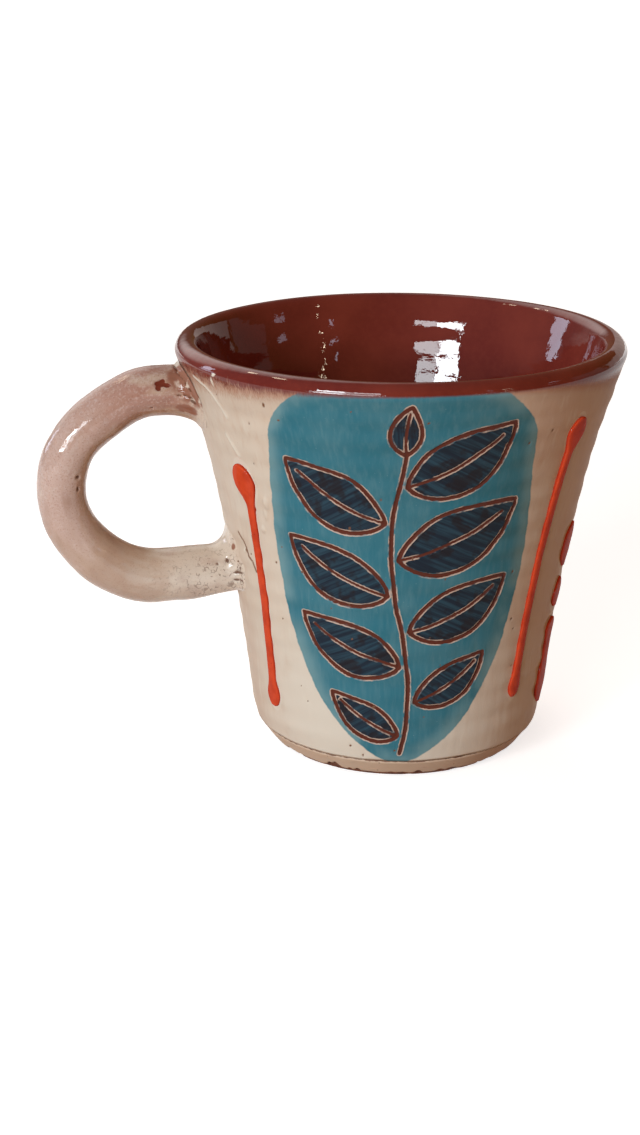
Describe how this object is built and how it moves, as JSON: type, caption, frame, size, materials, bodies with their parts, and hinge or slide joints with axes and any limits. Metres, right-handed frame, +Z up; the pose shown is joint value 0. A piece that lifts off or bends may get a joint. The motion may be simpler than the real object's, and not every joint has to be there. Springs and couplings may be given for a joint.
{
  "type": "ceramic cup",
  "caption": "Hand-thrown earthenware drinking cup with a flaring wall, rounded lip and looped coil handle, cream slip outside, a painted panel and raised red slip trails.",
  "frame": {"origin": "centre of the flat underside of the foot", "axes": "+Z up along the axis the cup was thrown on, -X towards the handle, -Y towards the decorated side"},
  "size_m": [0.1256, 0.0954, 0.09],
  "materials": {
    "red_clay": "gloss clear glaze over red-brown clay",
    "washed_clay": "satin glaze over a thin cream wash on red clay",
    "cream_slip": "satin glaze over brushed cream slip",
    "red_slip": "gloss glaze over thick orange-red slip"
  },
  "bodies": {
    "root": {"cup_body": "red_clay", "handle": "washed_clay", "upper_luting_collar": "washed_clay", "lower_luting_collar": "washed_clay", "wall_slip": "cream_slip", "foot_slip": "cream_slip", "left_trail": "red_slip", "right_trail": "red_slip", "side_trail": "red_slip", "side_dab_upper": "red_slip", "side_dab_lower": "red_slip"}
  },
  "joints": []
}
